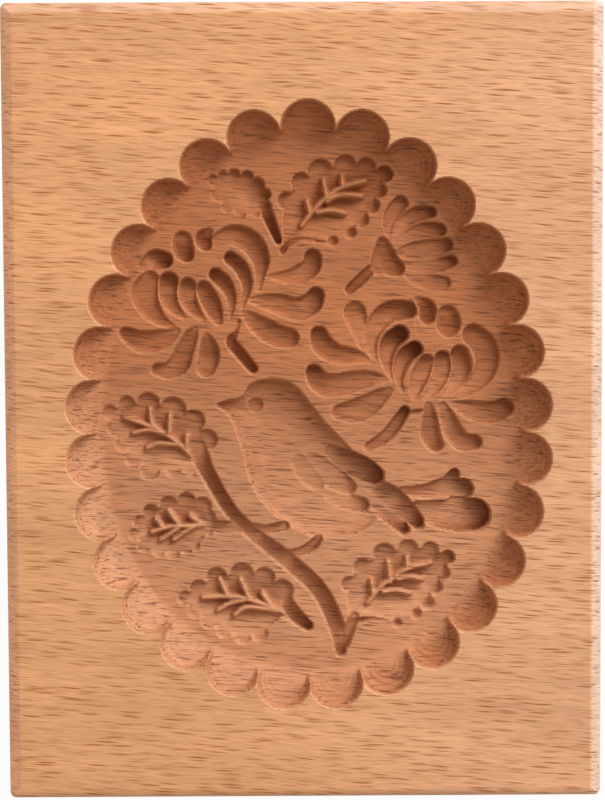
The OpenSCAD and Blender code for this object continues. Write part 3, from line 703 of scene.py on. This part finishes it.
def thin_out(piece, triangles):
    """Collapses the flat parts of a piece to the given number of triangles."""
    piece.data.calc_loop_triangles()
    thin = piece.modifiers.new("thin_out", "DECIMATE")
    thin.ratio = min(1.0, triangles / len(piece.data.loop_triangles))
    even = piece.modifiers.new("even_shade", "WEIGHTED_NORMAL")
    even.keep_sharp = True
    view = bpy.context.evaluated_depsgraph_get()
    thinned = bpy.data.meshes.new_from_object(piece.evaluated_get(view))
    piece.modifiers.clear()
    piece.data = thinned


def new_material(name):
    """A material with an empty tree of nodes, and that tree."""
    material = bpy.data.materials.new(name)
    material.use_nodes = True
    material.node_tree.nodes.clear()
    return material, material.node_tree


def add(tree, kind, inputs=None, **settings):
    """A new shader node: settings are its own properties, inputs are values or sockets to link."""
    made = tree.nodes.new("ShaderNode" + kind)
    for key, value in settings.items():
        setattr(made, key, value)
    for key, value in (inputs or {}).items():
        if isinstance(value, bpy.types.NodeSocket):
            tree.links.new(value, made.inputs[key])
        else:
            made.inputs[key].default_value = value
    return made


def math_node(tree, operation, a, b=0.0):
    """The result of a sum, product or other operation on two values."""
    return add(tree, "Math", {0: a, 1: b}, operation=operation).outputs[0]


def product(tree, a, b):
    """Two values multiplied."""
    return math_node(tree, "MULTIPLY", a, b)


def ramp(tree, value, zone):
    """A smooth step of a value: 0 where the zone begins, 1 where it ends."""
    return add(tree, "MapRange", {"Value": value, "From Min": zone[0], "From Max": zone[1]},
               interpolation_type="SMOOTHSTEP").outputs[0]


# Sockets of a mixing node: its share, its two numbers, its two colours and the colour that comes out
MIX_SHARE = 0
MIX_LOW, MIX_HIGH = 2, 3
MIX_FIRST, MIX_SECOND = 6, 7
MIX_COLOUR = 2


def number_between(tree, share, ends):
    """A number between two, the first at a share of 0, the second at a share of 1."""
    return add(tree, "Mix", {MIX_SHARE: share, MIX_LOW: ends[0], MIX_HIGH: ends[1]}).outputs[0]


def blend_colour(tree, share, a, b, mode="MIX"):
    """Two colours mixed by a share, each a socket or three parts."""
    a, b = (part if isinstance(part, bpy.types.NodeSocket) else (*part, 1.0) for part in (a, b))
    inputs = {MIX_SHARE: share, MIX_FIRST: a, MIX_SECOND: b}
    return add(tree, "Mix", inputs, data_type="RGBA", blend_type=mode).outputs[MIX_COLOUR]


def stored(tree, name):
    """A layer stored on the corners of the board's faces."""
    return add(tree, "Attribute", attribute_name=name).outputs["Fac"]


def parts_of(tree, spot):
    """The parts of a place, by the names X, Y and Z."""
    return add(tree, "SeparateXYZ", {0: spot}).outputs


def stretched(tree, spot, size):
    """Coordinates in which one unit is the given size in millimetres along each axis."""
    return add(tree, "Mapping", {"Vector": spot, "Scale": [1 / part for part in size]}).outputs[0]


# The grain: its turn against the plank, its roughness, and how far and how broadly it sways, in millimetres
GRAIN_TURN = math.radians(4)
GRAIN_ROUGH = 0.55
SWAY_SIZE = (14, 7, 20)
SWAY_REACH = (0.0, 1.1, 0.0)
SWAY_DETAIL = 1.0
# Sizes of the figure along the grain, across it and through the plank, in millimetres, then its detail
GRAINS = {
    "broad": ((60, 12, 30), 2.0),
    "streak": ((16, 0.8, 1.6), 4.0),
    "fibre": ((4, 0.2, 0.4), 2.0),
    "ring": ((45, 16, 1.2), 1.5),
    "fine": ((5.5, 0.32, 1.0), 1.5),
}
# Tone that each figure lays over the colour: its share, and the tone where the figure is 0
TONES = {"broad": (0.3, 0.85), "streak": (0.5, 0.76), "fibre": (0.5, 0.75), "ring": (0.3, 0.85)}
# Ray flecks: size of a cell, share of the cells that have one, softness of that choice, how much their
# strength varies, and the distances from its middle where a fleck ends and where it is full
FLECK_CELL = (6.2, 0.48, 0.9)
FLECK_COUNT = 0.9
FLECK_STEP = 0.05
FLECK_LUCK = 0.55
FLECK_LENS = (0.46, 0.14)
# Noise at which fine lines begin and are full, then the strength of flecks and of fine lines on the planed
# face and in the carved wood
FINE_ZONE = (0.53, 0.7)
FLECK_SHARES = (0.95, 0.4)
FINE_SHARES = (0.4, 0.82)


def grain(tree, spot, size, detail):
    """Noise drawn out along the grain, from 0 to 1."""
    vector = stretched(tree, spot, size)
    inputs = {"Vector": vector, "Scale": 1.0, "Detail": detail, "Roughness": GRAIN_ROUGH}
    return add(tree, "TexNoise", inputs).outputs[0]


def along_grain(tree, flat_spot):
    """Places, in millimetres, that follow the turn and the sway of the grain."""
    inputs = {"Vector": stretched(tree, flat_spot, SWAY_SIZE), "Scale": 1.0, "Detail": SWAY_DETAIL}
    sway = add(tree, "TexNoise", inputs).outputs["Color"]
    sway = add(tree, "VectorMath", {0: sway, 1: SWAY_REACH}, operation="MULTIPLY").outputs[0]
    spot = add(tree, "VectorMath", {0: flat_spot, 1: sway}, operation="ADD").outputs[0]
    return add(tree, "Mapping", {"Vector": spot, "Rotation": (0, 0, GRAIN_TURN)}).outputs[0]


def flecks(tree, spot):
    """Lens-shaped ray flecks, at most one to a cell."""
    cells = add(tree, "TexVoronoi", {"Vector": stretched(tree, spot, FLECK_CELL), "Scale": 1.0})
    luck = add(tree, "SeparateColor", {0: cells.outputs["Color"]}).outputs
    bare = 1 - FLECK_COUNT
    chosen = ramp(tree, luck[0], (bare, bare + FLECK_STEP))
    strength = math_node(tree, "ADD", product(tree, luck[1], FLECK_LUCK), 1 - FLECK_LUCK)
    lens = ramp(tree, cells.outputs["Distance"], FLECK_LENS)
    return product(tree, product(tree, lens, chosen), strength)


# Where the plank's left and right ends begin, in millimetres, and the share of marks that is missing there
END_ZONE = (HALF_W - 0.7, HALF_W - 0.2)
END_BARE = 0.6


def dark_marks(tree, flat_spot, spot, fine, carved):
    """How dark the flecks and the fine lines along the grain are, fewer of them on the two ends."""
    lenses = product(tree, flecks(tree, spot), number_between(tree, carved, FLECK_SHARES))
    lines = ramp(tree, fine, FINE_ZONE)
    lines = product(tree, lines, number_between(tree, carved, FINE_SHARES))
    mark = math_node(tree, "MAXIMUM", lenses, lines)
    at_end = ramp(tree, math_node(tree, "ABSOLUTE", parts_of(tree, flat_spot)["X"]), END_ZONE)
    return product(tree, mark, math_node(tree, "SUBTRACT", 1.0, product(tree, at_end, END_BARE)))


# Places in millimetres: where the face turns to its painted right-hand sheen and how far patches shift
# that, where the left end, the right bevel and the upper bevel begin, and how much painted sheen the two
# bevels get
RIGHT_ZONE = (-10, 50)
PATCH_REACH = 60
PATCH_MID = 0.5
LEFT_END_ZONE = (2.2 - HALF_W, 1.8 - HALF_W)
RIGHT_BEVEL_ZONE = (HALF_W - 2.2, HALF_W - 1.6)
RIGHT_BEVEL_SHEEN = 0.8
TOP_BEVEL_ZONE = (HALF_L - 2.2, HALF_L - 1.6)
TOP_BEVEL_SHEEN = 0.3
# The knot at the upper edge: its place and size in millimetres, and the shares of that size where it fades
KNOT_SPOT = (-37.0, 68.6, 20.0)
KNOT_SIZE = (2.6, 1.5, 3.0)
KNOT_ZONE = (1.0, 0.2)
KNOT_SHARE = 0.6


def planed_colour(tree, colours, flat_spot, spot, broad):
    """Colour of the planed wood: its face with painted sheen towards the right, end grain, painted sheen on
    the right and upper bevels, and one knot.
    """
    at = parts_of(tree, flat_spot)
    patch = product(tree, math_node(tree, "SUBTRACT", broad, PATCH_MID), PATCH_REACH)
    # Painted sheen towards the right of the face.
    right = ramp(tree, math_node(tree, "ADD", parts_of(tree, spot)["X"], patch), RIGHT_ZONE)
    plane = blend_colour(tree, right, colours.face, colours.face_sheen_right)
    plane = blend_colour(tree, ramp(tree, at["X"], LEFT_END_ZONE), plane, colours.end)
    # Painted sheen on the right-hand and upper bevels.
    right_bevel = product(tree, ramp(tree, at["X"], RIGHT_BEVEL_ZONE), RIGHT_BEVEL_SHEEN)
    top_bevel = product(tree, ramp(tree, at["Y"], TOP_BEVEL_ZONE), TOP_BEVEL_SHEEN)
    bevel_sheen = math_node(tree, "MAXIMUM", right_bevel, top_bevel)
    plane = blend_colour(tree, bevel_sheen, plane, colours.bevel_sheen)
    inputs = {0: stretched(tree, flat_spot, KNOT_SIZE), 1: np.divide(KNOT_SPOT, KNOT_SIZE)}
    away = add(tree, "VectorMath", inputs, operation="DISTANCE").outputs["Value"]
    knot = product(tree, ramp(tree, away, KNOT_ZONE), KNOT_SHARE)
    return blend_colour(tree, knot, plane, colours.cut)


# Where the carved wood turns redder towards the upper end, in millimetres, and which sides of the bank get
# a painted highlight (lower left) or painted shade (lower right), how wide those sides are and how strongly
# they show
CUT_ZONE = (-24, 16)
LIT_BANK_SIDE = (-0.82, -0.57, 0.0)
LIT_BANK_SHARE = 0.3
SHADED_BANK_SIDE = (0.75, -0.66, 0.0)
SHADED_BANK_SHARE = 0.78
SIDE_ZONE = (0.5, 1.0)


def bank_side(tree, flat_spot, side):
    """How far a spot lies on one side of the bank, from 0 to 1."""
    way = add(tree, "VectorMath", {0: flat_spot}, operation="NORMALIZE").outputs[0]
    near = add(tree, "VectorMath", {0: way, 1: side}, operation="DOT_PRODUCT").outputs["Value"]
    return product(tree, ramp(tree, near, SIDE_ZONE), stored(tree, "bank"))


def carved_colour(tree, colours, flat_spot, spot):
    """Colour of the carved wood: redder at the upper end, painted shade on the lower-right bank, painted
    highlight on the lower-left bank.
    """
    # Painted highlight on the lower-left bank, which faces the lamp.
    bank_highlight = product(tree, bank_side(tree, flat_spot, LIT_BANK_SIDE), LIT_BANK_SHARE)
    # Painted shade on the lower-right bank, where the right wall's shadow falls.
    bank_shade = product(tree, bank_side(tree, flat_spot, SHADED_BANK_SIDE), SHADED_BANK_SHARE)
    high = ramp(tree, parts_of(tree, spot)["Y"], CUT_ZONE)
    red = math_node(tree, "MAXIMUM", high, bank_shade)
    cut = blend_colour(tree, red, colours.cut_low, colours.cut)
    return blend_colour(tree, bank_highlight, cut, colours.edge)


# Strength of the painted shade in the grooves and the painted highlight on the edges, of the bump and its
# height, and the gloss of the wood.
# Its roughness is that of the planed face, then that of the carved wood.
GROOVE_SHARE = 0.95
EDGE_SHARE = 0.16
BUMP = 0.25
BUMP_HEIGHT = 0.2 * MM
SPECULAR = 0.5
ROUGHNESS = (0.45, 0.75)


def beech_material(colours):
    """Oiled beech: streaks and ray flecks along the plank's width, redder where it is cut."""
    material, tree = new_material("beech")
    where = add(tree, "TexCoord").outputs["Object"]
    flat_spot = add(tree, "Mapping", {"Vector": where, "Scale": (1 / MM,) * 3}).outputs[0]
    spot = along_grain(tree, flat_spot)
    grains = {name: grain(tree, spot, size, detail) for name, (size, detail) in GRAINS.items()}
    carved = stored(tree, "carved")

    plane = planed_colour(tree, colours, flat_spot, spot, grains["broad"])
    wood = blend_colour(tree, carved, plane, carved_colour(tree, colours, flat_spot, spot))
    tone = 1.0
    for name, (share, base) in TONES.items():
        tone = product(tree, tone, math_node(tree, "ADD", product(tree, grains[name], share), base))
    grey = add(tree, "CombineColor", {0: tone, 1: tone, 2: tone}).outputs[0]
    wood = blend_colour(tree, 1.0, wood, grey, "MULTIPLY")

    mark = dark_marks(tree, flat_spot, spot, grains["fine"], carved)
    dark = blend_colour(tree, carved, colours.fleck, colours.line)
    wood = blend_colour(tree, mark, wood, dark)
    # Painted shade: narrow deep cuts darkened towards the groove colour.
    groove_shade = product(tree, stored(tree, "groove_shade"), GROOVE_SHARE)
    wood = blend_colour(tree, groove_shade, wood, colours.groove_shade)
    # Painted highlight: sharp convex edges paled towards the edge colour.
    edge = product(tree, stored(tree, "edge"), EDGE_SHARE)
    wood = blend_colour(tree, edge, wood, colours.edge)

    height = math_node(tree, "SUBTRACT", grains["fibre"], mark)
    bump = add(tree, "Bump", {"Strength": BUMP, "Distance": BUMP_HEIGHT, "Height": height}).outputs[0]
    rough = number_between(tree, carved, ROUGHNESS)
    surface = add(tree, "BsdfPrincipled", {"Base Color": wood, "Roughness": rough, "Normal": bump})
    surface.inputs["Specular IOR Level"].default_value = SPECULAR
    add(tree, "OutputMaterial", {"Surface": surface.outputs[0]})
    return material


# Stored layers, in millimetres: depth of the full carved colour, widths and depths of the painted shade in
# grooves and of the painted highlight on edges.
# Then the share of painted shade on the tool marks, the slope of a flat face, and the slack and height of
# the carved face.
CUT_FULL = 0.6
GROOVE_W = 1.6
GROOVE_FULL = 2.0
EDGE_W = 0.4
EDGE_FULL = 0.35
TOOL_MARK_SHADE = 0.2
FLAT_FACE = 0.9998
FACE_SLACK = 0.01
FACE_LOW = 2.0


def nearest_step(values, steps):
    """Indices of the even steps that lie nearest to some values."""
    index = np.round((values - steps[0]) / (steps[1] - steps[0]))
    return np.clip(index, 0, len(steps) - 1).astype(int)


def values_of(items, name, kind, width=1):
    """One value, or a few, of each part of a mesh."""
    values = np.zeros(width * len(items), kind)
    items.foreach_get(name, values)
    return values


def paint(board, xs, ys, layers):
    """Stores layers of the height field on the corners of the board's faces.

    A layer is 0 off the carved face, and one that isn't marked for them is 0 on flat faces too.
    """
    mesh = board.data
    x, y, z = values_of(mesh.vertices, "co", float, 3).reshape(-1, 3).T / MM
    col, line = nearest_step(x, xs), nearest_step(y, ys)
    on_face = (np.abs(x) <= xs[-1] + FACE_SLACK) & (np.abs(y) <= ys[-1] + FACE_SLACK) & (z > FACE_LOW)
    corners = values_of(mesh.loops, "vertex_index", int)
    normals = values_of(mesh.polygons, "normal", float, 3)
    counts = values_of(mesh.polygons, "loop_total", int)
    flat = np.repeat(normals[2::3] > FLAT_FACE, counts)
    for name, (layer, on_flat) in layers.items():
        shares = (layer[line, col] * on_face)[corners] * (on_flat | ~flat)
        mesh.attributes.new(name, "FLOAT", "CORNER").data.foreach_set("value", shares.astype(np.float32))


class MOULD_OT_carve_board(bpy.types.Operator):
    """Carves the plank: the scalloped recess, the songbird, its branch, the flowers and the leaves"""

    bl_idname = "mould.carve_board"
    bl_label = "Carve Board"

    def execute(self, context):
        recess, carving = context.scene.mould_recess, context.scene.mould_carving
        flat = HALF - (recess.bevel_w + recess.bevel_in) / MM
        step = carving.grid / MM
        xs, ys = (np.linspace(-half, half, round(2 * half / step) + 1) for half in flat)
        egg = np.array([recess.egg_w, recess.egg_l]) / MM
        shift = np.array(recess.shift) / MM
        hollow, bank, marks = recess_depth(xs - shift[0], ys - shift[1], recess)
        picture = picture_depth(xs - shift[0], ys - shift[1], egg, carving)
        depth = soften(hollow + picture)
        board = bpy.data.objects.new("carved_board", plank_mesh(xs, ys, depth, recess))
        context.scene.collection.objects.link(board)
        thin_out(board, carving.triangles)
        # Painted shade: strongest where a cut lies deeper than its surroundings.
        groove_shade = np.clip((picture - blurred(picture, round(GROOVE_W / step))) / GROOVE_FULL, 0, 1)
        # Painted shade along the rings of the tool marks.
        groove_shade = np.maximum(groove_shade, TOOL_MARK_SHADE * np.clip(marks / TOOL_MARK, 0, 1))
        # Painted highlight: strongest where an edge stands above its surroundings.
        edge = np.clip((blurred(depth, round(EDGE_W / step)) - depth) / EDGE_FULL, 0, 1)
        layers = {
            "carved": (np.clip(depth / CUT_FULL, 0, 1), True),
            "bank": (bank, True),
            # Painted shade in the narrow deep cuts and on the tool marks.
            "groove_shade": (groove_shade, True),
            # Painted highlight on sharp edges.
            "edge": (edge, False),
        }
        paint(board, xs, ys, layers)
        board.data.materials.append(beech_material(context.scene.mould_beech))
        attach(board, "root")
        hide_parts("mould_board")
        return {"FINISHED"}


# The camera: its place, its turn from straight down in degrees, and its lens over the picture's height
CAMERA_SPOT = (-1.69 * MM, 25.91 * MM, 400 * MM)
CAMERA_TURN = (-3.79, -0.24, -0.26)
SENSOR_H = 36.0
FOCAL_SHARE = 2175.8 / 800
CLIP_START = 10 * MM
# The key lamp and the fill: sizes in metres, and shares of the light at which a colour renders as written
KEY_AZIMUTH = math.radians(52)
KEY_ELEVATION = math.radians(36)
KEY_AWAY = 1.1
KEY_SIZE = 0.85
KEY_SHARE = 0.52
FILL_SHARE = 0.51
FILL_COLOUR = (1.0, 0.91, 0.83, 1.0)
# The floor: its size in metres, its gap below the plank, its grey, and how white the camera sees it
FLOOR_SIZE = 3.0
FLOOR_GAP = 0.2 * MM
FLOOR_GREY = (0.85, 0.85, 0.85, 1.0)
FLOOR_GLOW = 0.95
WHITE = (1.0, 1.0, 1.0, 1.0)


def white_floor_material():
    """A pale floor that the camera sees as white, with the plank's shadow left on it."""
    material, tree = new_material("white_floor")
    path = add(tree, "LightPath").outputs
    seen = math_node(tree, "MAXIMUM", path["Is Camera Ray"], path["Is Glossy Ray"])
    seen = math_node(tree, "MAXIMUM", seen, path["Is Transmission Ray"])
    share = product(tree, seen, FLOOR_GLOW)
    matt = add(tree, "BsdfDiffuse", {"Color": FLOOR_GREY}).outputs[0]
    glow = add(tree, "Emission", {"Color": WHITE, "Strength": 1.0}).outputs[0]
    mixed = add(tree, "MixShader", {0: share, 1: matt, 2: glow}).outputs[0]
    add(tree, "OutputMaterial", {"Surface": mixed})
    return material


def lay_floor(scene):
    """The pale floor under the plank."""
    half = FLOOR_SIZE / 2
    corners = [(-half, -half, 0), (half, -half, 0), (half, half, 0), (-half, half, 0)]
    mesh = bpy.data.meshes.new("floor")
    mesh.from_pydata(corners, [], [(0, 1, 2, 3)])
    mesh.materials.append(white_floor_material())
    floor = bpy.data.objects.new("floor", mesh)
    floor.location.z = -FLOOR_GAP
    scene.collection.objects.link(floor)


def hang_key(scene):
    """One large round lamp at upper right, as strong as a level face needs for the key's share."""
    lamp = bpy.data.lights.new("key", "AREA")
    lamp.shape = "DISK"
    lamp.size = KEY_SIZE
    key = bpy.data.objects.new("key", lamp)
    aim = Vector((math.cos(KEY_AZIMUTH), math.sin(KEY_AZIMUTH), math.tan(KEY_ELEVATION))).normalized()
    key.location = aim * KEY_AWAY
    key.rotation_euler = key.location.to_track_quat("Z", "Y").to_euler()
    lamp.energy = KEY_SHARE * math.pi**2 * (KEY_AWAY**2 + KEY_SIZE**2 / 4) / aim.z
    scene.collection.objects.link(key)


def light_room(scene):
    """Soft fill light from all sides."""
    world = bpy.data.worlds.new("soft_room")
    world.use_nodes = True
    background = world.node_tree.nodes["Background"].inputs
    background["Color"].default_value = FILL_COLOUR
    background["Strength"].default_value = FILL_SHARE
    scene.world = world


def set_camera(scene):
    """A camera above the plank that looks almost straight down."""
    camera = bpy.data.objects.new("camera", bpy.data.cameras.new("camera"))
    camera.data.sensor_fit = "VERTICAL"
    camera.data.sensor_height = SENSOR_H
    camera.data.lens = FOCAL_SHARE * SENSOR_H
    camera.data.clip_start = CLIP_START
    camera.location = CAMERA_SPOT
    camera.rotation_euler = [math.radians(turn) for turn in CAMERA_TURN]
    scene.collection.objects.link(camera)
    scene.camera = camera


class MOULD_OT_lay_stage(bpy.types.Operator):
    """Lays the pale floor, hangs the lamps and sets up the camera above the plank"""

    bl_idname = "mould.lay_stage"
    bl_label = "Lay Stage"

    def execute(self, context):
        scene = context.scene
        lay_floor(scene)
        hang_key(scene)
        light_room(scene)
        set_camera(scene)
        scene.view_settings.view_transform = "Standard"
        return {"FINISHED"}


class MOULD_PT_panel(bpy.types.Panel):
    """Sizes, colours and steps of the mould."""

    bl_idname = "MOULD_PT_panel"
    bl_label = "Carved Cookie Mould"
    bl_space_type = "VIEW_3D"
    bl_region_type = "UI"
    bl_category = "Mould"

    def draw(self, context):
        for group in (context.scene.mould_recess, context.scene.mould_carving, context.scene.mould_beech):
            box = self.layout.box()
            for name in group.__annotations__:
                box.prop(group, name)
        for step in OPERATORS:
            self.layout.operator(step.bl_idname)


GROUPS = {"mould_recess": MouldRecess, "mould_carving": MouldCarving, "mould_beech": MouldBeech}
OPERATORS = (MOULD_OT_lay_stage, MOULD_OT_carve_board)
CLASSES = (*GROUPS.values(), *OPERATORS, MOULD_PT_panel)


def register():
    """Adds the panel, the steps and the settings."""
    for made in CLASSES:
        bpy.utils.register_class(made)
    for name, group in GROUPS.items():
        setattr(bpy.types.Scene, name, PointerProperty(type=group))


def unregister():
    """Takes the panel, the steps and the settings away again."""
    for name in GROUPS:
        delattr(bpy.types.Scene, name)
    for made in reversed(CLASSES):
        bpy.utils.unregister_class(made)


def main():
    """Builds the scene."""
    register()
    bpy.ops.mould.lay_stage()
    bpy.ops.mould.carve_board()


if __name__ == "__main__":
    main()
